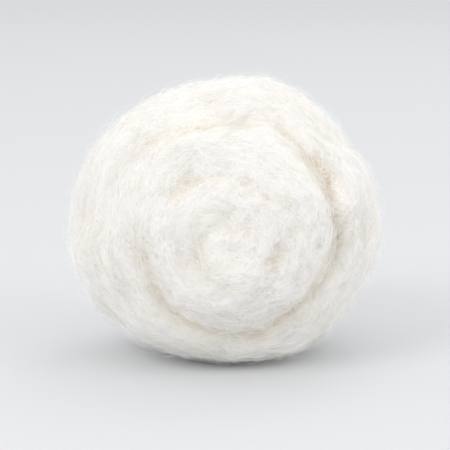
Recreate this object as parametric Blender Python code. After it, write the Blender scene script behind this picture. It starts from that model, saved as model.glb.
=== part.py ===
"""A cotton ball: a short length of loose carded cotton, rolled up and matted into a soft round wad.

The roll lies on its side with its axis along Y, so one spiral end faces -Y and the other faces +Y. It rests
on the small flat spot that its own weight presses into it. The origin is in the plane of that spot, under
the middle of the ball's box, and +Z is up. Lengths are in metres and angles in degrees. Angles around the
roll start at +X and go up towards +Z.
"""

import math

import bmesh
import bpy
from mathutils import Vector, noise

# The plain roll, before its lumps and presses move the surface by up to about a millimetre
WIDTH = 0.0278
HEIGHT = 0.0250
LENGTH = 0.0300
END_FULLNESS = 2.0

# The lap of cotton: how thick a turn is, and the spiral crease between the turns on the two ends. The crease
# is open under the outer turn, and the inner turns are matted together.
TURN_THICKNESS = 0.0047
CREASE_DEPTH = 0.0013
INNER_CREASE_DEPTH = 0.0006
CREASE_WIDTH = 0.0010
CREASE_WANDER = 0.0008
END_DIMPLE_DEPTH = 0.0008
END_DIMPLE_WIDTH = 0.0028

# The outer edge of the lap: a soft step along the side, from one end to the other
LAP_EDGE_ANGLE = -52.0
LAP_EDGE_SKEW = 14.0
LAP_EDGE_WANDER = 12.0
LAP_EDGE_STEP = 0.0010
LAP_EDGE_BLEND = 0.0026

# Soft lumps and smaller folds all over, and bundles of fibre that are wound around the roll
LUMP_HEIGHT = 0.0008
LUMP_SPACING = 0.0075
FOLD_HEIGHT = 0.0005
FOLD_SPACING = 0.0050
BUNDLE_HEIGHT = 0.0005
BUNDLE_SPACING = 0.0032
BUNDLE_BENDS = 1.6

# Where its neighbours pressed it flatter: the azimuth and elevation of each press, and how deep it goes.
# Azimuth 0 faces -Y, and 90 faces +X.
PRESS_WIDTH = 0.0068
PRESSES = (
    (-58.0, 26.0, 0.0007),
    (56.0, -24.0, 0.0006),
    (100.0, 36.0, 0.0010),
    (-140.0, -10.0, 0.0008),
    (-100.0, 60.0, 0.0007),
    (160.0, 44.0, 0.0004),
)

# The spot it rests on, and how far around it the underside has settled smooth
REST_SPOT_WIDTH = 0.0070
REST_SOFTNESS = 0.0001
SETTLED_REACH = 0.0150

# Fineness of the mesh: squares along each side of the cube that is blown up to the ball
SQUARES = 28

COTTON_COLOUR = (0.93, 0.915, 0.885, 1.0)
COTTON_ROUGHNESS = 0.95


def clear_scene():
    for old in list(bpy.data.objects):
        bpy.data.objects.remove(old)


def smooth_step(low, high, value):
    share = min(max((value - low) / (high - low), 0.0), 1.0)
    return share * share * (3.0 - 2.0 * share)


def hill(distance, width):
    return math.exp(-((distance / width) ** 2))


def facing(azimuth, elevation):
    turn, rise = math.radians(azimuth), math.radians(elevation)
    return Vector((math.sin(turn) * math.cos(rise), -math.cos(turn) * math.cos(rise), math.sin(rise)))


def mean_radius():
    return (WIDTH + HEIGHT) / 4.0


def rest_sink():
    """How much of the round underside the resting spot takes away."""
    half = REST_SPOT_WIDTH / 2.0
    return mean_radius() - math.sqrt(mean_radius() ** 2 - half**2) + REST_SOFTNESS


def plain_roll(direction):
    """The plain shape: an ellipse across the roll, and also along it where the ends' fullness is 2."""
    across = math.hypot(direction.x, direction.z)
    share = (across**END_FULLNESS + abs(direction.y) ** END_FULLNESS) ** (-1.0 / END_FULLNESS)
    size = Vector((WIDTH, LENGTH, HEIGHT + rest_sink()))
    return Vector(share * step * side / 2.0 for step, side in zip(direction, size))


def end_share(point):
    """0 on the side of the roll and 1 on its two ends."""
    return smooth_step(0.45, 0.75, abs(point.y) / (LENGTH / 2.0))


def angle_past_lap_edge(point):
    """The share of a turn, 0 to 1, from the lap's outer edge round to this point."""
    along = point.y / (LENGTH / 2.0)
    wave = LAP_EDGE_WANDER * noise.noise(Vector((3.1, 1.7 * along, 5.2)))
    edge = math.radians(LAP_EDGE_ANGLE + LAP_EDGE_SKEW * along + wave)
    return ((math.atan2(point.z, point.x) - edge) / (2.0 * math.pi)) % 1.0


def crease_depth(from_axis):
    """How deep the crease is at this radius. It closes over the inner turns and ends at the middle."""
    opened = smooth_step(1.4 * TURN_THICKNESS, 2.0 * TURN_THICKNESS, from_axis)
    depth = INNER_CREASE_DEPTH + (CREASE_DEPTH - INNER_CREASE_DEPTH) * opened
    return depth * smooth_step(0.0, TURN_THICKNESS, from_axis)


def end_crease(point):
    """The spiral crease between the turns, which comes in from the lap's outer edge."""
    wander = CREASE_WANDER * noise.noise(point / TURN_THICKNESS + Vector((4.0, 0.0, 1.0)))
    from_axis = math.hypot(point.x, point.z) + wander
    turns_in = (mean_radius() - from_axis) / TURN_THICKNESS + angle_past_lap_edge(point)
    off_crease = (turns_in - round(turns_in)) * TURN_THICKNESS
    patchy = 0.85 + 0.8 * noise.noise(point / (1.6 * TURN_THICKNESS) + Vector((7.0, 0.0, 3.0)))
    return -crease_depth(from_axis) * patchy * hill(off_crease, CREASE_WIDTH)


def end_dimple(point):
    """The hollow at the middle of an end, where the first turn closes on itself."""
    return -END_DIMPLE_DEPTH * hill(math.hypot(point.x, point.z), END_DIMPLE_WIDTH)


def lap_step(point):
    """The side swells through one turn of the outer lap, and drops back at the lap's outer edge."""
    share = angle_past_lap_edge(point)
    blend = LAP_EDGE_BLEND / (2.0 * math.pi * mean_radius())
    return LAP_EDGE_STEP * (share - 0.5) * smooth_step(0.0, blend, min(share, 1.0 - share))


def bundles(point):
    """Low ridges of fibre that run around the roll."""
    around = point.normalized() * BUNDLE_BENDS
    sway = point.y / BUNDLE_SPACING + noise.noise(point / LUMP_SPACING)
    return BUNDLE_HEIGHT * noise.noise(Vector((around.x, sway, around.z)))


def lumps(point):
    return LUMP_HEIGHT * noise.noise(point / LUMP_SPACING + Vector((1.7, 4.1, 2.9)))


def folds(point):
    return FOLD_HEIGHT * noise.noise(point / FOLD_SPACING + Vector((5.3, 2.2, 8.1)))


def presses(point):
    """The soft dents where the ball was pressed."""
    dents = 0.0
    for azimuth, elevation, depth in PRESSES:
        middle = plain_roll(facing(azimuth, elevation))
        dents += depth * hill((point - middle).length, PRESS_WIDTH)
    return -dents


def surface_point(direction):
    """Where the cotton's surface lies in this direction from the middle of the roll."""
    base = plain_roll(direction)
    ends = end_share(base)
    raised = lumps(base) + folds(base) + bundles(base) + presses(base)
    raised += ends * (end_crease(base) + end_dimple(base)) + (1.0 - ends) * lap_step(base)
    from_rest = (base - plain_roll(Vector((0.0, 0.0, -1.0)))).length
    return base + base.normalized() * raised * smooth_step(SETTLED_REACH / 2.0, SETTLED_REACH, from_rest)


def cotton_material():
    material = bpy.data.materials.new("cotton")
    material.use_nodes = True
    shader = material.node_tree.nodes["Principled BSDF"]
    shader.inputs["Base Color"].default_value = COTTON_COLOUR
    shader.inputs["Roughness"].default_value = COTTON_ROUGHNESS
    shader.inputs["Metallic"].default_value = 0.0
    return material


def add_ball_of_squares(mesh):
    """A cube cut into a grid and blown up to a ball of radius 1, which has no poles to pinch."""
    bmesh.ops.create_cube(mesh, size=2.0)
    bmesh.ops.subdivide_edges(mesh, edges=mesh.edges, cuts=SQUARES - 1, use_grid_fill=True)
    for vertex in mesh.verts:
        even = Vector(math.tan(step * math.pi / 4.0) for step in vertex.co)
        vertex.co = even.normalized()


def flatten_rest_spot(mesh):
    """Presses the lowest part of the underside level, with a soft bend around it."""
    floor = min(vertex.co.z for vertex in mesh.verts) + rest_sink()
    for vertex in mesh.verts:
        room = vertex.co.z - floor
        if room < REST_SOFTNESS:
            vertex.co.z = floor + max(room + REST_SOFTNESS, 0.0) ** 2 / (4.0 * REST_SOFTNESS)


def stand_on_origin(mesh):
    """Puts the middle of the mesh's box over the origin, and its lowest face at height zero."""
    low = Vector(min(vertex.co[axis] for vertex in mesh.verts) for axis in range(3))
    high = Vector(max(vertex.co[axis] for vertex in mesh.verts) for axis in range(3))
    foot = Vector(((low.x + high.x) / 2.0, (low.y + high.y) / 2.0, low.z))
    bmesh.ops.translate(mesh, verts=mesh.verts, vec=-foot)


def make_cotton_ball(collection):
    mesh = bmesh.new()
    add_ball_of_squares(mesh)
    for vertex in mesh.verts:
        vertex.co = surface_point(vertex.co)
    flatten_rest_spot(mesh)
    stand_on_origin(mesh)
    data = bpy.data.meshes.new("cotton_ball")
    mesh.to_mesh(data)
    mesh.free()
    data.shade_smooth()
    data.materials.append(cotton_material())
    ball = bpy.data.objects.new("cotton_ball", data)
    collection.objects.link(ball)


def main():
    clear_scene()
    parts = bpy.data.collections.new("cotton ball")
    bpy.context.scene.collection.children.link(parts)
    make_cotton_ball(parts)


main()
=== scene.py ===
# %% [markdown]
# # A cotton ball
#
# A cotton ball starts as a lap, a thin blanket of carded cotton. A short length of it is rolled up loosely,
# and the roll is tumbled until its turns mat together. What is left is a soft wad with three kinds of
# detail: the big soft form, with a spiral crease where the turns end; the matted strands that run around the
# roll; and single fibres, lying on the surface or standing off it as fuzz.
#
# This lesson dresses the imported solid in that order. Everything is in metres, in the solid's own frame: +Z
# is up, the roll's axis is along Y, and one spiral end faces the camera, towards -Y.

# %% The frame
import math

import bmesh
import bpy
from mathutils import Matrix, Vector, noise


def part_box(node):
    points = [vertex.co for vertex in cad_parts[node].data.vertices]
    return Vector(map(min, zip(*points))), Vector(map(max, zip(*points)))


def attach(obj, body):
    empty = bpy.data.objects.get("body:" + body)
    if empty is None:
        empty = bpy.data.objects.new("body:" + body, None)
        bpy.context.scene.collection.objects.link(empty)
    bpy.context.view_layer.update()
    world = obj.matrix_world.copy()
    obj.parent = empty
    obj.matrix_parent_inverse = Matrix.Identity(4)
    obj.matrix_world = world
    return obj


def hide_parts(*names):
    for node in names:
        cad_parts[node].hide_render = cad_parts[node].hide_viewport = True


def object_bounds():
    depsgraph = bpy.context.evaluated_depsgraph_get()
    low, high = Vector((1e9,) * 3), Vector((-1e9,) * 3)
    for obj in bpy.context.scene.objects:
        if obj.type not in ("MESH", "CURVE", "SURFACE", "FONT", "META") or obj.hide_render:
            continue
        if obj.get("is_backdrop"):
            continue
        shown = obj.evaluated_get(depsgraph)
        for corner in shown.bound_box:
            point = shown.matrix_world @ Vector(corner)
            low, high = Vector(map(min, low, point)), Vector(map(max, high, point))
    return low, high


MM = 0.001

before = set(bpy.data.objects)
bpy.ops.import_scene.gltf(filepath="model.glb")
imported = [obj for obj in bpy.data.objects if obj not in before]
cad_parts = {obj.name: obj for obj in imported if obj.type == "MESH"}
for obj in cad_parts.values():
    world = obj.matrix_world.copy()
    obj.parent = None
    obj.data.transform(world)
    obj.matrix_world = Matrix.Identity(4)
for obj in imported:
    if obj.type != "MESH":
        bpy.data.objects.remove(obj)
cad_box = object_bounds()
low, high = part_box("cotton_ball")
size = high - low
print("The solid is", " x ".join(f"{side / MM:.1f}" for side in size), "mm")

# %% [markdown]
# ## Where the roll lies
#
# Strands and creases follow the roll's axis, which isn't quite in the middle of the box, because the turns
# are uneven. The axis is stated once here, and every later step measures from it. The solid was modelled
# with the same numbers, so a crease that is found with them lies in the solid's own crease.
#
# The crease is a spiral. Take how deep a point lies inside the roll, counted in turns, and add its share of
# a turn past the lap's outer edge: the sum is a whole number on the crease and nowhere else. Noise lets the
# line wander a little.

# %% The roll's axis and its spiral
AXIS = Vector((0.41 * MM, 0.07 * MM, 12.2 * MM))
ROLL_RADIUS = 13.2 * MM
ROLL_LENGTH = 30.0 * MM
TURN_THICKNESS = 4.7 * MM

CREASE_WANDER = 0.8 * MM
CREASE_NOISE_START = Vector((4.0, 0.0, 1.0))
CREASE_CLOSED_RADIUS = 1.0 * TURN_THICKNESS
CREASE_OPEN_RADIUS = 2.0 * TURN_THICKNESS

LAP_EDGE_ANGLE = math.radians(-52.0)
LAP_EDGE_SKEW = math.radians(14.0)
LAP_EDGE_WANDER = math.radians(12.0)
LAP_EDGE_WAVES = 1.7

# The shares of half the roll's length at which an end starts, and from which it counts in full
END_STARTS = 0.40
END_IN_FULL = 0.65


def smooth_step(least, most, value):
    share = min(max((value - least) / (most - least), 0.0), 1.0)
    return share * share * (3.0 - 2.0 * share)


def lap_edge_angle(along):
    """The angle of the lap's outer edge, where `along` goes from -1 on one end to 1 on the other."""
    wave = noise.noise(Vector((3.1, LAP_EDGE_WAVES * along, 5.2)))
    return LAP_EDGE_ANGLE + LAP_EDGE_SKEW * along + LAP_EDGE_WANDER * wave


def off_the_crease(point):
    """How far this point lies from the spiral crease, and how open the crease is there."""
    x, y, z = point - AXIS
    along = y / (ROLL_LENGTH / 2.0)
    past_edge = ((math.atan2(z, x) - lap_edge_angle(along)) / (2.0 * math.pi)) % 1.0
    wander = CREASE_WANDER * noise.noise(Vector((x, y, z)) / TURN_THICKNESS + CREASE_NOISE_START)
    turns_in = (ROLL_RADIUS - math.hypot(x, z) - wander) / TURN_THICKNESS + past_edge
    openness = smooth_step(CREASE_CLOSED_RADIUS, CREASE_OPEN_RADIUS, math.hypot(x, z))
    openness *= smooth_step(END_STARTS, END_IN_FULL, abs(along))
    return (turns_in - round(turns_in)) * TURN_THICKNESS, openness


print(f"The roll has about {ROLL_RADIUS / TURN_THICKNESS:.1f} turns")

# %% [markdown]
# ## The camera
#
# The ball is seen end-on and nearly level, as in the picture it is made from. A long lens from a little way
# off keeps it from bulging towards the viewer.

# %% The camera
CAMERA_ELEVATION = math.radians(9.0)
CAMERA_AZIMUTH = math.radians(0.0)
LENS_MM = 150.0
SENSOR_MM = 36.0
FRAME_WIDTH = 41.0 * MM
AIM_HEIGHT_SHARE = 0.47
NEAREST_SEEN = 0.01
FARTHEST_SEEN = 50.0

camera_data = bpy.data.cameras.new("camera")
camera_data.lens = LENS_MM
camera_data.sensor_width = SENSOR_MM
camera_data.clip_start = NEAREST_SEEN
camera_data.clip_end = FARTHEST_SEEN
camera = bpy.data.objects.new("camera", camera_data)
bpy.context.scene.collection.objects.link(camera)
bpy.context.scene.camera = camera
camera_distance = FRAME_WIDTH * LENS_MM / SENSOR_MM
towards_camera = Vector((
    math.sin(CAMERA_AZIMUTH) * math.cos(CAMERA_ELEVATION),
    -math.cos(CAMERA_AZIMUTH) * math.cos(CAMERA_ELEVATION),
    math.sin(CAMERA_ELEVATION),
))
aim = Vector((0.0, 0.0, size.z * AIM_HEIGHT_SHARE))
camera.location = aim + towards_camera * camera_distance
camera.rotation_euler = towards_camera.to_track_quat("Z", "Y").to_euler()
print(f"The camera stands {camera_distance / MM:.0f} mm away")

# %% [markdown]
# ## Building node trees
#
# Materials and Geometry Nodes are both trees of nodes. These helpers add a node, set its options, and fill
# its sockets by name: a socket is linked, and anything else is set as the socket's value. Many nodes keep a
# hidden socket of the same name for each data type, so only the enabled ones count.

# %% Helpers for node trees
def socket_of(sockets, name):
    if isinstance(name, int):
        return sockets[name]
    return next(socket for socket in sockets if socket.name == name and socket.enabled)


def fill_socket(tree, socket, value):
    if isinstance(value, bpy.types.NodeSocket):
        tree.links.new(value, socket)
    else:
        socket.default_value = value


def add_node(tree, kind, inputs=None, **options):
    made = tree.nodes.new(kind)
    for option, value in options.items():
        setattr(made, option, value)
    for name, value in (inputs or {}).items():
        fill_socket(tree, socket_of(made.inputs, name), value)
    return made


def calculate(tree, operation, *values):
    """One Math node's result."""
    return add_node(tree, "ShaderNodeMath", dict(enumerate(values)), operation=operation).outputs[0]


def calculate_vector(tree, operation, *values, result="Vector"):
    """One Vector Math node's result. A scale goes in by name, because it comes after the vectors."""
    made = add_node(tree, "ShaderNodeVectorMath", operation=operation)
    for place, value in enumerate(values):
        is_scale = operation == "SCALE" and place == 1
        fill_socket(tree, made.inputs["Scale" if is_scale else place], value)
    return made.outputs[result]


def separate(tree, vector):
    return add_node(tree, "ShaderNodeSeparateXYZ", {"Vector": vector}).outputs


def combine(tree, x, y, z):
    return add_node(tree, "ShaderNodeCombineXYZ", {"X": x, "Y": y, "Z": z}).outputs[0]


def map_range(tree, value, least, most, to_least=0.0, to_most=1.0):
    """Where a value lies between two others, as a share or on another range, held within its ends."""
    return add_node(tree, "ShaderNodeMapRange", {
        "Value": value, "From Min": least, "From Max": most, "To Min": to_least, "To Max": to_most,
    }).outputs[0]


# %% [markdown]
# ## Noise that follows the roll
#
# Nearly every irregular thing here is a noise: lumps, tangles, the way a fibre heads. A plain one has the
# same grain in all directions. Strands need one that is drawn out around the roll, and no stretched copy of
# space does that, because the roll closes on itself. So the angle goes in as two coordinates on a circle,
# the place along the roll and the distance from its axis are the other two, and a 4D noise takes all four.

# %% Helpers for noise
NOISE_MIDDLE = 0.5
AXIS_CLEARANCE = 0.5 * MM


def add_noise(tree, place, cells, detail, **more):
    """A plain noise node with this many cells a metre."""
    return add_node(tree, "ShaderNodeTexNoise", {
        "Vector": place, "Scale": cells, "Detail": detail, **more,
    })


def noise_value(tree, place, cells, detail, **more):
    return add_noise(tree, place, cells, detail, **more).outputs[0]


def noise_shift(tree, place, cells, detail, reach):
    """A vector noise around zero, scaled by the reach."""
    cloud = add_noise(tree, place, cells, detail).outputs[1]
    centred = calculate_vector(tree, "SUBTRACT", cloud, (NOISE_MIDDLE,) * 3)
    return calculate_vector(tree, "SCALE", centred, reach)


def above_middle(tree, value):
    return calculate(tree, "SUBTRACT", value, NOISE_MIDDLE)


def around_the_roll(tree, position, spacing, stretch):
    """Coordinates for a pattern that is drawn out around the roll.

    The result is a vector and a fourth number for a 4D noise. Going around the roll they change slowly, and
    going along it or towards its axis they change fast, by one for each spacing."""
    x, y, z = separate(tree, calculate_vector(tree, "SUBTRACT", position, AXIS))
    squares = calculate(tree, "ADD", calculate(tree, "MULTIPLY", x, x), calculate(tree, "MULTIPLY", z, z))
    from_axis = calculate(tree, "SQRT", squares)
    bend = ROLL_RADIUS / (spacing * stretch)
    reach = calculate(tree, "MAXIMUM", from_axis, AXIS_CLEARANCE)
    turned = calculate(tree, "MULTIPLY", calculate(tree, "DIVIDE", x, reach), bend)
    raised = calculate(tree, "MULTIPLY", calculate(tree, "DIVIDE", z, reach), bend)
    along = calculate(tree, "DIVIDE", y, spacing)
    return combine(tree, turned, along, raised), calculate(tree, "DIVIDE", from_axis, spacing)


def strand_noise(tree, position, spacing, stretch, roughness):
    """A noise of strands that run around the roll, side by side at this spacing."""
    place, fourth = around_the_roll(tree, position, spacing, stretch)
    return add_node(tree, "ShaderNodeTexNoise", {
        "Vector": place, "W": fourth, "Scale": 1.0, "Detail": 3.0, "Roughness": roughness,
    }, noise_dimensions="4D").outputs[0]


# %% [markdown]
# ## Cotton, the material
#
# Bleached cotton is a warm white, and nearly all the light that falls on it comes out again, much of it after
# wandering through the fibres. So the wad gets subsurface scattering over about half a millimetre, almost no
# gloss, and a faint sheen. Light that has been deep in a crease comes back warmer and dimmer, and that is
# painted in as shade: the wad's colour leans to a darker cream where the `hollow` attribute, which a later
# step measures, says that the surface lies deep.
#
# A single fibre is too thin to scatter light inside itself, so it keeps the low gloss and the sheen and has
# one plain colour. There are two such finishes: a white one, and a cream one. A few fibres anywhere have the
# cream as their own tone, and in the hollows it grows more likely, which paints crease shade onto the fibres.

# %% The cotton finish
COTTON_WHITE = (0.940, 0.932, 0.915, 1.0)
# Painted crease shade: the wad's colour leans to this darker cream where it lies deep; noise patches also give
# a little of it as the cotton's own tone
COTTON_CREAM_AND_SHADE = (0.790, 0.700, 0.560, 1.0)
FIBRE_WHITE = (0.980, 0.976, 0.968, 1.0)
# Painted crease shade on fibres in the hollows, and the own tone of a few fibres anywhere
FIBRE_CREAM_AND_SHADE = (0.925, 0.855, 0.720, 1.0)
COTTON_ROUGHNESS = 0.95
COTTON_SHINE = 0.25
SHEEN = 0.25
SHEEN_ROUGHNESS = 0.6

# How much of the light scatters inside, how deep, and how far red, green and blue get
SCATTER_SHARE = 0.7
SCATTER_DEPTH = 0.6 * MM
SCATTER_BY_COLOUR = (1.0, 0.9, 0.72)

# Fine streaks around the roll, and patches of the cotton's own tone, where the cream that also paints the
# crease shade is a little stronger or weaker
STREAK_SPACING = 0.16 * MM
STREAK_STRETCH = 14.0
STREAK_ROUGHNESS = 0.6
STREAK_HEIGHT = 0.05 * MM
STREAK_STRENGTH = 0.5
PATCH_CELLS = 220.0
PATCH_STRENGTH = 0.25


def add_shader(material, colour):
    """A matt Principled shader in this colour, alone in the material's tree."""
    tree = material.node_tree
    tree.nodes.clear()
    shader = add_node(tree, "ShaderNodeBsdfPrincipled", {
        "Roughness": COTTON_ROUGHNESS,
        "Specular IOR Level": COTTON_SHINE,
        "Sheen Weight": SHEEN,
        "Sheen Roughness": SHEEN_ROUGHNESS,
        "Base Color": colour,
    })
    output = add_node(tree, "ShaderNodeOutputMaterial")
    tree.links.new(shader.outputs[0], output.inputs["Surface"])
    return shader


def make_wad_material():
    material = bpy.data.materials.new("matted_cotton")
    material.use_nodes = True
    tree = material.node_tree
    shader = add_shader(material, COTTON_WHITE)
    shader.inputs["Subsurface Weight"].default_value = SCATTER_SHARE
    shader.inputs["Subsurface Radius"].default_value = SCATTER_BY_COLOUR
    shader.inputs["Subsurface Scale"].default_value = SCATTER_DEPTH
    place = add_node(tree, "ShaderNodeTexCoord").outputs["Object"]
    hollow = add_node(tree, "ShaderNodeAttribute", attribute_name="hollow").outputs["Fac"]
    patch = above_middle(tree, noise_value(tree, place, PATCH_CELLS, detail=2.0))
    # Painted crease shade: the deeper the hollow, the more the colour leans to the darker cream; the noise
    # patches add or take a little as the cotton's own tone
    colour = add_node(tree, "ShaderNodeMix", {
        "Factor": calculate(tree, "MULTIPLY_ADD", patch, PATCH_STRENGTH, hollow),
        "A": COTTON_WHITE,
        "B": COTTON_CREAM_AND_SHADE,
    }, data_type="RGBA", clamp_factor=True)
    tree.links.new(socket_of(colour.outputs, "Result"), shader.inputs["Base Color"])
    bump = add_node(tree, "ShaderNodeBump", {
        "Height": strand_noise(tree, place, STREAK_SPACING, STREAK_STRETCH, STREAK_ROUGHNESS),
        "Strength": STREAK_STRENGTH,
        "Distance": STREAK_HEIGHT,
    })
    tree.links.new(bump.outputs[0], shader.inputs["Normal"])
    return material


def make_fibre_material(name, colour):
    material = bpy.data.materials.new(name)
    material.use_nodes = True
    add_shader(material, colour)
    return material


wad_material = make_wad_material()
white_fibre = make_fibre_material("cotton_fibre", FIBRE_WHITE)
cream_and_shade_fibre = make_fibre_material("cotton_fibre_cream_and_shade", FIBRE_CREAM_AND_SHADE)
print("Made the finishes", wad_material.name + ",", white_fibre.name, "and", cream_and_shade_fibre.name)

# %% [markdown]
# ## The wad's soft form
#
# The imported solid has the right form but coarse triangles. A copy of it is merged into one skin and remeshed
# into small even squares, so that fine relief has something to move. It could be subdivided instead, but
# that would keep the triangles' uneven flow, and it would show as facets in the relief.

# %% The soft form
SQUARE = 0.19 * MM
SMOOTHING = 0.5
SMOOTHING_PASSES = 6
MERGE_DISTANCE = 0.001 * MM


def copy_of_solid(name):
    """The solid as one closed skin, in an object of its own."""
    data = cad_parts["cotton_ball"].data.copy()
    data.name = name
    data.materials.clear()
    mesh = bmesh.new()
    mesh.from_mesh(data)
    bmesh.ops.remove_doubles(mesh, verts=mesh.verts, dist=MERGE_DISTANCE)
    mesh.to_mesh(data)
    mesh.free()
    copied = bpy.data.objects.new(name, data)
    bpy.context.scene.collection.objects.link(copied)
    return copied


def plain_mesh(shaped, name):
    """The object's mesh with all its modifiers in it, as a new object that has none."""
    depsgraph = bpy.context.evaluated_depsgraph_get()
    data = bpy.data.meshes.new_from_object(shaped.evaluated_get(depsgraph), depsgraph=depsgraph)
    data.name = name
    bpy.data.objects.remove(shaped)
    made = bpy.data.objects.new(name, data)
    bpy.context.scene.collection.objects.link(made)
    return made


def make_soft_form():
    form = copy_of_solid("form_before_remesh")
    remesh = form.modifiers.new("even squares", "REMESH")
    remesh.mode = "VOXEL"
    remesh.voxel_size = SQUARE
    smooth = form.modifiers.new("soften", "SMOOTH")
    smooth.factor = SMOOTHING
    smooth.iterations = SMOOTHING_PASSES
    return plain_mesh(form, "soft_form")


def mark_the_spiral(data):
    """Stores each point's distance from the crease and the crease's openness, for the relief to read."""
    marks = [off_the_crease(vertex.co) for vertex in data.vertices]
    for place, name in enumerate(("off_crease", "openness")):
        attribute = data.attributes.new(name, "FLOAT", "POINT")
        attribute.data.foreach_set("value", [mark[place] for mark in marks])


soft_form = make_soft_form()
mark_the_spiral(soft_form.data)
print("The soft form has", len(soft_form.data.polygons), "squares")

# %% [markdown]
# ## Building Geometry Nodes
#
# A Geometry Nodes tree needs a few things more than a material: sockets of its own, which show up as named
# inputs on the modifier, and attributes, which carry a number or a vector from one step to the next. Every
# tree here ends in Realize Instances and Set Material, so that the result is one plain mesh with its finish.

# %% Helpers for Geometry Nodes
def start_tree(name, sizes):
    """A Geometry Nodes tree with a geometry input and output, and a named input for each size."""
    tree = bpy.data.node_groups.new(name, "GeometryNodeTree")
    tree.interface.new_socket("Geometry", in_out="INPUT", socket_type="NodeSocketGeometry")
    tree.interface.new_socket("Geometry", in_out="OUTPUT", socket_type="NodeSocketGeometry")
    for size_name, kind in sizes.items():
        tree.interface.new_socket(size_name, in_out="INPUT", socket_type=f"NodeSocket{kind}")
    return tree, tree.nodes.new("NodeGroupInput").outputs


def end_tree(tree, geometry, material, where=True):
    """Realizes the instances, sets the material, and closes the tree."""
    real = add_node(tree, "GeometryNodeRealizeInstances", {"Geometry": geometry}).outputs[0]
    finished = add_node(tree, "GeometryNodeSetMaterial", {
        "Geometry": real, "Selection": where, "Material": material,
    }).outputs[0]
    output = add_node(tree, "NodeGroupOutput")
    tree.links.new(finished, output.inputs["Geometry"])


def run_tree(target, tree, values):
    """Puts the tree on the object as a modifier and sets its inputs by their sockets' identifiers."""
    modifier = target.modifiers.new(tree.name, "NODES")
    modifier.node_group = tree
    for item in tree.interface.items_tree:
        if item.in_out == "INPUT" and item.name in values:
            modifier[item.identifier] = values[item.name]


def store(tree, geometry, name, value, data_type="FLOAT"):
    return add_node(tree, "GeometryNodeStoreNamedAttribute", {
        "Geometry": geometry, "Name": name, "Value": value,
    }, data_type=data_type, domain="POINT").outputs[0]


def stored(tree, name, data_type="FLOAT"):
    made = add_node(tree, "GeometryNodeInputNamedAttribute", {"Name": name}, data_type=data_type)
    return socket_of(made.outputs, "Attribute")


# %% [markdown]
# ## The matted surface
#
# Up close the surface is a felt of strands, drawn out around the roll by the winding and tangled by the
# tumbling. A Geometry Nodes tree raises it: long strands from the noise that follows the roll, clumps from a
# plain noise, and a fine tangle over both. All three are read at a place that is swayed a little, so that no
# strand runs quite straight. The solid's spiral crease is soft, so the tree also cuts a narrow line along
# the bottom of it. All of it fades near the floor, where the ball's weight has pressed it flat.
#
# The tree ends by measuring how deep each point lies below the smoothed surface around it, which the colours
# of the wad and of its fibres read to paint shade into the creases.

# %% The relief
SWAY_CELLS = 260.0
SWAY_REACH = 2.6 * MM
STRAND_SPACING = 0.75 * MM
STRAND_STRETCH = 9.0
STRAND_ROUGHNESS = 0.62
CLUMP_CELLS = 420.0
CLUMP_ROUGHNESS = 0.5
TANGLE_CELLS = 1700.0
TANGLE_ROUGHNESS = 0.6
TANGLE_DISTORTION = 0.6

# The crease is deep in some patches, and half as deep where its noise is lowest
CREASE_PATCH_CELLS = 170.0
CREASE_PATCH_RANGE = (0.3, 0.6)
SHALLOWEST_CREASE = 0.5

PRESSED_HEIGHT = 1.2 * MM
BLUR_STEPS = 60

RELIEF = {
    "Clump Height": 0.90 * MM,
    "Strand Height": 0.60 * MM,
    "Tangle Height": 0.30 * MM,
    "Crease Depth": 0.75 * MM,
    "Crease Width": 0.45 * MM,
    "Hollow Depth": 0.42 * MM,
}


def felt_height(tree, given, swayed):
    """The height of the strands, the clumps and the tangle, added up."""
    strands = strand_noise(tree, swayed, STRAND_SPACING, STRAND_STRETCH, STRAND_ROUGHNESS)
    clumps = noise_value(tree, swayed, CLUMP_CELLS, detail=3.0, Roughness=CLUMP_ROUGHNESS)
    tangle = noise_value(
        tree, swayed, TANGLE_CELLS, detail=3.0, Roughness=TANGLE_ROUGHNESS, Distortion=TANGLE_DISTORTION,
    )
    height = calculate(tree, "MULTIPLY", above_middle(tree, strands), given["Strand Height"])
    for pattern, amount in ((clumps, given["Clump Height"]), (tangle, given["Tangle Height"])):
        height = calculate(tree, "MULTIPLY_ADD", above_middle(tree, pattern), amount, height)
    return height


def crease_line(tree, given, swayed):
    """The depth of the narrow line along the bottom of the crease."""
    off = calculate(tree, "ABSOLUTE", stored(tree, "off_crease"))
    off = calculate(tree, "DIVIDE", off, given["Crease Width"])
    line = calculate(tree, "EXPONENT", calculate(tree, "MULTIPLY", off, -1.0))
    patches = noise_value(tree, swayed, CREASE_PATCH_CELLS, detail=1.0)
    patchy = map_range(tree, patches, *CREASE_PATCH_RANGE, SHALLOWEST_CREASE)
    line = calculate(tree, "MULTIPLY", calculate(tree, "MULTIPLY", line, patchy), stored(tree, "openness"))
    return calculate(tree, "MULTIPLY", line, given["Crease Depth"])


def hollow_share(tree, given, position, normal):
    """How deep a point lies below the blurred surface, as a share of the depth that counts as full."""
    blurred = add_node(tree, "GeometryNodeBlurAttribute", {
        "Value": position, "Iterations": BLUR_STEPS,
    }, data_type="FLOAT_VECTOR")
    below = calculate_vector(tree, "SUBTRACT", socket_of(blurred.outputs, "Value"), position)
    depth = calculate_vector(tree, "DOT_PRODUCT", below, normal, result="Value")
    return map_range(tree, depth, 0.0, given["Hollow Depth"])


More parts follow.
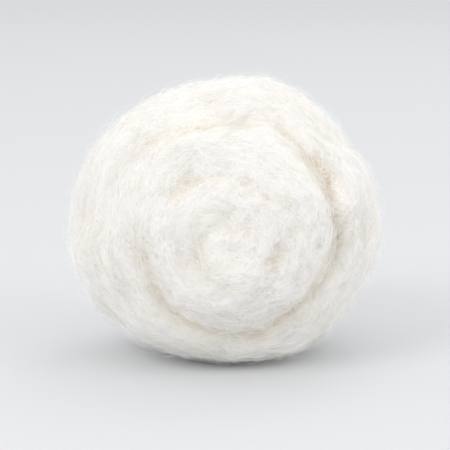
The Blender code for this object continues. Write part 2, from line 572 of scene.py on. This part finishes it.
def make_relief_tree():
    tree, given = start_tree("matted relief", {name: "Float" for name in RELIEF})
    position = add_node(tree, "GeometryNodeInputPosition").outputs[0]
    normal = add_node(tree, "GeometryNodeInputNormal").outputs[0]
    drift = noise_shift(tree, position, SWAY_CELLS, detail=2.0, reach=SWAY_REACH)
    swayed = calculate_vector(tree, "ADD", position, drift)

    height = felt_height(tree, given, swayed)
    height = calculate(tree, "SUBTRACT", height, crease_line(tree, given, swayed))
    above_floor = map_range(tree, separate(tree, position)[2], 0.0, PRESSED_HEIGHT)
    height = calculate(tree, "MULTIPLY", height, above_floor)
    raised = add_node(tree, "GeometryNodeSetPosition", {
        "Geometry": given["Geometry"], "Offset": calculate_vector(tree, "SCALE", normal, height),
    }).outputs[0]

    marked = store(tree, raised, "hollow", hollow_share(tree, given, position, normal))
    smooth = add_node(tree, "GeometryNodeSetShadeSmooth", {"Geometry": marked}).outputs[0]
    end_tree(tree, smooth, wad_material)
    return tree


wad_start = bpy.data.objects.new("wad_start", soft_form.data.copy())
bpy.context.scene.collection.objects.link(wad_start)
run_tree(wad_start, make_relief_tree(), RELIEF)
wad = plain_mesh(wad_start, "cotton_wad")
bpy.data.objects.remove(soft_form)
wad_area = sum(face.area for face in wad.data.polygons)
print("The wad has", 2 * len(wad.data.polygons), "triangles over", round(wad_area / MM**2), "square mm")

# %% [markdown]
# ## Fibres
#
# A cotton fibre is some 25 mm long and a fiftieth of a millimetre thick, and it is never straight. Thousands
# of them show on the surface, in layers: most are wound around the roll, some cross over, and a few arch up
# or end in the air as fuzz. One Geometry Nodes tree lays every layer, with other numbers. Blender's hair
# curves could do it too, but the finished model has to be plain meshes.
#
# The tree works in four steps. The first scatters points over the wad, more of them in some patches, and
# gives each point the facts of one fibre: where it starts, which way it heads, how long it is, and four
# chances of its own. Each point then gets a short straight line, which the next steps bend.

# %% Scatter the fibres
FLOW_CELLS = 260.0
LENGTH_SPREAD = (0.55, 1.35)

# Where the web noise is low the fibres lie thinly, and where it is high they lie densely
WEB_CELLS = 480.0
WEB_RANGE = (0.35, 0.65)
WEB_DENSITY = (0.35, 1.65)

# The seed of each random choice of a fibre. The scatter itself takes the layer's own seed.
SEED_HEADING = 11
SEED_LENGTH = 12
SEEDS_OWN = (13, 14, 15)
SEED_SHADE = 16


def random_number(tree, least, greatest, seed):
    made = add_node(tree, "FunctionNodeRandomValue", {
        "Min": least, "Max": greatest, "Seed": seed,
    }, data_type="FLOAT")
    return socket_of(made.outputs, "Value")


def scatter_roots(tree, given):
    """A point for each fibre, with the facts of the fibre stored on it."""
    root = add_node(tree, "GeometryNodeInputPosition").outputs[0]
    web = noise_value(tree, root, WEB_CELLS, detail=2.0)
    web = map_range(tree, web, *WEB_RANGE, *WEB_DENSITY)
    points = add_node(tree, "GeometryNodeDistributePointsOnFaces", {
        "Mesh": given["Geometry"],
        "Density": calculate(tree, "MULTIPLY", given["Density"], web),
        "Seed": given["Seed"],
    }, distribute_method="RANDOM").outputs["Points"]
    flow = above_middle(tree, noise_value(tree, root, FLOW_CELLS, detail=2.0))
    flow = calculate(tree, "MULTIPLY", flow, given["Flow"])
    spread = random_number(tree, -1.0, 1.0, SEED_HEADING)
    spread = calculate(tree, "MULTIPLY", spread, given["Heading Spread"])
    length = calculate(tree, "MULTIPLY", given["Length"], random_number(tree, *LENGTH_SPREAD, SEED_LENGTH))
    own = combine(tree, *(random_number(tree, 0.0, 1.0, seed) for seed in SEEDS_OWN))
    points = store(tree, points, "root", root, "FLOAT_VECTOR")
    points = store(tree, points, "heading", calculate(tree, "ADD", flow, spread))
    points = store(tree, points, "fibre_length", length)
    points = store(tree, points, "own", own, "FLOAT_VECTOR")
    return store(tree, points, "own_shade", random_number(tree, 0.0, 1.0, SEED_SHADE))


def draw_lines(tree, given, points):
    """A line of the layer's number of points on each root. Later steps place every point of it."""
    line = add_node(tree, "GeometryNodeCurvePrimitiveLine", {
        "Start": (0.0, 0.0, 0.0), "End": (1.0, 0.0, 0.0),
    }).outputs[0]
    line = add_node(tree, "GeometryNodeResampleCurve", {"Curve": line, "Count": given["Points"]}).outputs[0]
    copies = add_node(tree, "GeometryNodeInstanceOnPoints", {"Points": points, "Instance": line}).outputs[0]
    return add_node(tree, "GeometryNodeRealizeInstances", {"Geometry": copies}).outputs[0]


# %% [markdown]
# The second step winds the line. Each point of it starts at the root and is turned about the roll's axis, so
# the line follows the winding, and then swung to one side by the fibre's heading. A noise curls it. Two
# fibres that lie side by side mustn't curl alike, so each reads the noise at a place of its own.

# %% Wind and curl them
AXIS_DIRECTION = (0.0, 1.0, 0.0)
TIGHTEST_TURN = 2.2 * MM
OWN_PLACE_SPREAD = 60.0


def rotate(tree, point, axis, angle):
    return add_node(tree, "ShaderNodeVectorRotate", {
        "Vector": point, "Center": AXIS, "Axis": axis, "Angle": angle,
    }, rotation_type="AXIS_ANGLE").outputs[0]


def wind(tree, root, heading, run):
    """The place this far along the fibre from its root, and as far from the roll's middle as the root."""
    x, _, z = separate(tree, calculate_vector(tree, "SUBTRACT", root, AXIS))
    from_axis = calculate_vector(tree, "LENGTH", combine(tree, x, 0.0, z), result="Value")
    from_axis = calculate(tree, "MAXIMUM", from_axis, TIGHTEST_TURN)
    run_around = calculate(tree, "MULTIPLY", run, calculate(tree, "COSINE", heading))
    turned = rotate(tree, root, AXIS_DIRECTION, calculate(tree, "DIVIDE", run_around, from_axis))
    outward = calculate_vector(tree, "SUBTRACT", turned, AXIS)
    across = calculate_vector(tree, "CROSS_PRODUCT", AXIS_DIRECTION, outward)
    across = calculate_vector(tree, "NORMALIZE", across)
    run_across = calculate(tree, "MULTIPLY", run, calculate(tree, "SINE", heading))
    from_middle = calculate_vector(tree, "LENGTH", outward, result="Value")
    return rotate(tree, turned, across, calculate(tree, "DIVIDE", run_across, from_middle))


def curl(tree, given, place, own):
    spacing = combine(tree, given["Curl Spacing"], given["Curl Spacing"], given["Curl Spacing"])
    read_at = calculate_vector(tree, "DIVIDE", place, spacing)
    read_at = calculate_vector(tree, "ADD", read_at, calculate_vector(tree, "SCALE", own, OWN_PLACE_SPREAD))
    bend = noise_shift(tree, read_at, cells=1.0, detail=1.0, reach=given["Curl"])
    return calculate_vector(tree, "ADD", place, bend)


# %% [markdown]
# The third step lays the line on the wad: a ray from outside drops each point onto the surface. Then the
# point is lifted. Every fibre has a height of its own in its layer, a few arch up in the middle, and a few
# have a tail that rises. A power of the fibre's own chance makes the high ones rare. Near the floor there is
# less room, so the lift shrinks, and no point goes under the floor.

# %% Lay them on the wad
DROP_HEIGHT = 30.0 * MM
LOOP_RARITY = 3.0
TAIL_RARITY = 2.5
TAIL_BEND = 2.5

# Between these heights over the floor the lift grows from its least share to all of it
ROOM_STARTS = 0.1 * MM
ROOM_IN_FULL = 1.6 * MM
LEAST_LIFT = 0.3

# How high over the floor a point lies at least, as a share of the fibre's thickness
FLOOR_CLEARANCE = 0.6


def lift_height(tree, given, share, own_level, own_loop, own_tail):
    """How high above the wad a point lies, at this share of the way along its fibre."""
    span = calculate(tree, "SUBTRACT", given["Highest"], given["Lowest"])
    lift = calculate(tree, "MULTIPLY_ADD", span, own_level, given["Lowest"])
    # The hump is 0 at both ends and 1 in the middle
    to_end = calculate(tree, "SUBTRACT", 1.0, share)
    hump = calculate(tree, "MULTIPLY", to_end, calculate(tree, "MULTIPLY", share, 4.0))
    loop = calculate(tree, "MULTIPLY", hump, calculate(tree, "POWER", own_loop, LOOP_RARITY))
    lift = calculate(tree, "MULTIPLY_ADD", loop, given["Loop Height"], lift)
    tail = calculate(tree, "POWER", share, TAIL_BEND)
    tail = calculate(tree, "MULTIPLY", tail, calculate(tree, "POWER", own_tail, TAIL_RARITY))
    return calculate(tree, "MULTIPLY_ADD", tail, given["End Height"], lift)


def lay(tree, given, place, lift):
    """The place dropped onto the wad and lifted off it again."""
    way_out = calculate_vector(tree, "NORMALIZE", calculate_vector(tree, "SUBTRACT", place, AXIS))
    outside = calculate_vector(tree, "ADD", calculate_vector(tree, "SCALE", way_out, DROP_HEIGHT), AXIS)
    drop = add_node(tree, "GeometryNodeRaycast", {
        "Target Geometry": given["Geometry"],
        "Source Position": outside,
        "Ray Direction": calculate_vector(tree, "SCALE", way_out, -1.0),
        "Ray Length": DROP_HEIGHT,
    })
    landing = socket_of(drop.outputs, "Hit Position")
    room = map_range(tree, separate(tree, landing)[2], ROOM_STARTS, ROOM_IN_FULL, LEAST_LIFT)
    raised = calculate_vector(tree, "SCALE", way_out, calculate(tree, "MULTIPLY", lift, room))
    x, y, z = separate(tree, calculate_vector(tree, "ADD", landing, raised))
    least_height = calculate(tree, "MULTIPLY", given["Thickness"], FLOOR_CLEARANCE)
    return combine(tree, x, y, calculate(tree, "MAXIMUM", z, least_height))


# %% [markdown]
# The last step gives the line a body. A real fibre is a flattened, twisted tube, so a flat section runs along
# the line and twists on the way, and it narrows towards the fibre's ends. A tube of only three sides would
# take three times the triangles and look no better at this size. Here the fibre also gets its finish: the
# deeper its part of the wad lies, the likelier it is to be cream, which paints shade into the creases.

# %% Make ribbons of them
END_NARROWING = 0.6
END_SHARPNESS = 4.0
TWISTS = 0.8
# The chance of the cream finish grows with the hollow's depth, which paints crease shade, from a small chance
# anywhere that is the fibre's own tone
CREASE_SHADE_CHANCE = 1.1
CREAM_CHANCE_OUTSIDE = 0.04


def make_ribbons(tree, given, fibres, share, own_twist):
    past_middle = calculate(tree, "MULTIPLY_ADD", share, 2.0, -1.0)
    ends = calculate(tree, "POWER", calculate(tree, "ABSOLUTE", past_middle), END_SHARPNESS)
    narrowing = calculate(tree, "MULTIPLY_ADD", ends, -END_NARROWING, 1.0)
    half_width = calculate(tree, "MULTIPLY", calculate(tree, "MULTIPLY", given["Thickness"], 0.5), narrowing)
    turns = calculate(tree, "MULTIPLY_ADD", share, TWISTS, own_twist)
    tilt = calculate(tree, "MULTIPLY", turns, 2.0 * math.pi)
    fibres = add_node(tree, "GeometryNodeSetCurveTilt", {"Curve": fibres, "Tilt": tilt}).outputs[0]
    section = add_node(tree, "GeometryNodeCurvePrimitiveLine", {
        "Start": (-1.0, 0.0, 0.0), "End": (1.0, 0.0, 0.0),
    }).outputs[0]
    ribbons = add_node(tree, "GeometryNodeCurveToMesh", {
        "Curve": fibres, "Profile Curve": section, "Scale": half_width,
    }).outputs[0]
    return add_node(tree, "GeometryNodeSetShadeSmooth", {"Geometry": ribbons}).outputs[0]


# Painted crease shade: the cream finish grows likelier with the hollow's depth under the fibre
def takes_cream_and_shade(tree):
    chance = calculate(tree, "MULTIPLY_ADD", stored(tree, "hollow"), CREASE_SHADE_CHANCE, CREAM_CHANCE_OUTSIDE)
    return calculate(tree, "GREATER_THAN", chance, stored(tree, "own_shade"))


# %% [markdown]
# ## The fibre tree
#
# The four steps are put together here. Half of a fibre lies on each side of its root, so the run along it
# goes from minus half its length to plus half.

# %% Put the fibre tree together
def make_fibre_tree():
    tree, given = start_tree("laid fibres", {
        "Density": "Float", "Points": "Int", "Length": "Float", "Thickness": "Float",
        "Heading Spread": "Float", "Flow": "Float", "Curl": "Float", "Curl Spacing": "Float",
        "Lowest": "Float", "Highest": "Float", "Loop Height": "Float", "End Height": "Float", "Seed": "Int",
    })
    fibres = draw_lines(tree, given, scatter_roots(tree, given))
    own = stored(tree, "own", "FLOAT_VECTOR")
    own_level, own_loop, own_tail = separate(tree, own)
    share = add_node(tree, "GeometryNodeSplineParameter").outputs["Factor"]
    run = calculate(tree, "SUBTRACT", share, 0.5)
    run = calculate(tree, "MULTIPLY", run, stored(tree, "fibre_length"))

    place = wind(tree, stored(tree, "root", "FLOAT_VECTOR"), stored(tree, "heading"), run)
    place = curl(tree, given, place, own)
    lift = lift_height(tree, given, share, own_level, own_loop, own_tail)
    place = lay(tree, given, place, lift)
    fibres = add_node(tree, "GeometryNodeSetPosition", {"Geometry": fibres, "Position": place}).outputs[0]

    ribbons = make_ribbons(tree, given, fibres, share, own_loop)
    white = add_node(tree, "GeometryNodeSetMaterial", {
        "Geometry": ribbons, "Material": white_fibre,
    }).outputs[0]
    end_tree(tree, white, cream_and_shade_fibre, takes_cream_and_shade(tree))
    return tree


fibre_tree = make_fibre_tree()
print("The fibre tree has", len(fibre_tree.nodes), "nodes")

# %% [markdown]
# ## The layers
#
# The lowest layer is the coarsest: long strands of a few fibres that cling together, wound around the roll.
# Each layer over it is finer and shorter and stands higher. The last two head in all directions, and the
# very last is the fuzz that softens the outline.

# %% Lay every layer
def lay_fibres(name, count, **sizes):
    """One layer of about this many fibres, as a plain mesh."""
    start = bpy.data.objects.new(f"{name}_start", wad.data)
    bpy.context.scene.collection.objects.link(start)
    values = {words.replace("_", " ").title(): value for words, value in sizes.items()}
    values["Density"] = count / wad_area
    run_tree(start, fibre_tree, values)
    layer = plain_mesh(start, name)
    print(name, "has", sum(len(face.vertices) - 2 for face in layer.data.polygons), "triangles")
    return layer


layers = [
    lay_fibres(
        "wound_strands", 8800, points=12, length=9.0 * MM, thickness=0.045 * MM, heading_spread=0.35,
        flow=3.4, curl=1.0 * MM, curl_spacing=2.6 * MM, lowest=-0.04 * MM, highest=0.10 * MM,
        loop_height=0.10 * MM, end_height=0.0, seed=1,
    ),
    lay_fibres(
        "crossing_fibres", 10400, points=10, length=7.0 * MM, thickness=0.028 * MM, heading_spread=0.9,
        flow=3.4, curl=1.8 * MM, curl_spacing=2.4 * MM, lowest=0.0, highest=0.18 * MM,
        loop_height=0.20 * MM, end_height=0.15 * MM, seed=2,
    ),
    lay_fibres(
        "wisps", 10400, points=10, length=6.0 * MM, thickness=0.022 * MM, heading_spread=1.6,
        flow=1.4, curl=2.6 * MM, curl_spacing=2.2 * MM, lowest=0.0, highest=0.28 * MM,
        loop_height=0.45 * MM, end_height=0.35 * MM, seed=3,
    ),
    lay_fibres(
        "fuzz", 11700, points=9, length=3.2 * MM, thickness=0.016 * MM, heading_spread=1.6,
        flow=1.4, curl=2.2 * MM, curl_spacing=1.6 * MM, lowest=0.0, highest=0.30 * MM,
        loop_height=0.9 * MM, end_height=1.1 * MM, seed=4,
    ),
]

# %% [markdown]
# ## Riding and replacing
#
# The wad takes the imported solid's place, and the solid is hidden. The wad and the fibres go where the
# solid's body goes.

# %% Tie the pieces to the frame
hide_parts("cotton_ball")
for piece in [wad, *layers]:
    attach(piece, "root")
print(1 + len(layers), "pieces ride on the root body")

# %% [markdown]
# ## The floor and the light
#
# The ball is nearly white, so it needs a floor a little darker and cooler than itself, and light that is
# soft but comes more from one side. The world gives most of the light. A key lamp above and to the left of
# the camera shapes the turns, a weaker fill on the right opens the shadows, and a third lamp behind keeps
# the far side from going grey. They are round lamps: a flat one lights only what is in front of it, and
# would draw the edge of its light across the floor. What the camera sees of the world matches the floor's
# far edge, so there is hardly a horizon. White fibres pass light on many times, so the light may bounce more
# often than usual before it is dropped.

# %% Floor, world and lamps
FLOOR_COLOUR = (0.69, 0.702, 0.718, 1.0)
FLOOR_ROUGHNESS = 0.8
FLOOR_REACH = 3.0
FLOOR_SIDES = 64
FAR_FLOOR_LIGHT = 0.975
WORLD_STRENGTH = 0.93
LIGHT_BOUNCES = 16

# Where each lamp stands, its radius and its power in watts
LAMPS = {
    "key": (Vector((-0.24, -0.31, 0.29)), 0.11, 2.4),
    "fill": (Vector((0.34, -0.22, 0.20)), 0.15, 1.2),
    "back": (Vector((0.14, 0.30, 0.40)), 0.15, 0.8),
}


def make_floor():
    mesh = bmesh.new()
    bmesh.ops.create_circle(mesh, cap_ends=True, radius=FLOOR_REACH, segments=FLOOR_SIDES)
    data = bpy.data.meshes.new("floor")
    mesh.to_mesh(data)
    mesh.free()
    material = bpy.data.materials.new("floor")
    material.use_nodes = True
    shader = material.node_tree.nodes["Principled BSDF"]
    shader.inputs["Base Color"].default_value = FLOOR_COLOUR
    shader.inputs["Roughness"].default_value = FLOOR_ROUGHNESS
    data.materials.append(material)
    floor = bpy.data.objects.new("floor", data)
    bpy.context.scene.collection.objects.link(floor)
    floor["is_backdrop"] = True


def make_world():
    backdrop = [FAR_FLOOR_LIGHT * channel for channel in FLOOR_COLOUR[:3]] + [1.0]
    world = bpy.data.worlds.new("studio")
    world.use_nodes = True
    tree = world.node_tree
    tree.nodes.clear()
    light = add_node(tree, "ShaderNodeBackground", {
        "Color": (1.0, 1.0, 1.0, 1.0), "Strength": WORLD_STRENGTH,
    })
    seen = add_node(tree, "ShaderNodeBackground", {"Color": backdrop, "Strength": 1.0})
    is_seen = add_node(tree, "ShaderNodeLightPath").outputs["Is Camera Ray"]
    mixed = add_node(tree, "ShaderNodeMixShader", {0: is_seen, 1: light.outputs[0], 2: seen.outputs[0]})
    output = add_node(tree, "ShaderNodeOutputWorld")
    tree.links.new(mixed.outputs[0], output.inputs["Surface"])
    bpy.context.scene.world = world


def add_lamp(name, place, radius, power):
    data = bpy.data.lights.new(name, "POINT")
    data.shadow_soft_size = radius
    data.energy = power
    lamp = bpy.data.objects.new(name, data)
    lamp.location = place
    bpy.context.scene.collection.objects.link(lamp)


make_floor()
make_world()
for lamp_name, (place, radius, power) in LAMPS.items():
    add_lamp(lamp_name, place, radius, power)
bpy.context.scene.view_settings.view_transform = "Standard"
bpy.context.scene.cycles.max_bounces = LIGHT_BOUNCES
bpy.context.scene.cycles.diffuse_bounces = LIGHT_BOUNCES
print("The light comes from the world and", len(LAMPS), "lamps")

# %% [markdown]
# ## The sizes, written down
#
# The finished model may stand a little proud of the imported solid, because fuzz does. Both boxes are written
# out, so that they can be compared.

# %% Print both boxes
visual_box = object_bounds()
for name, box in (("solid", cad_box), ("dressed", visual_box)):
    print(name, [round(value / MM, 2) for corner in box for value in corner], "mm")
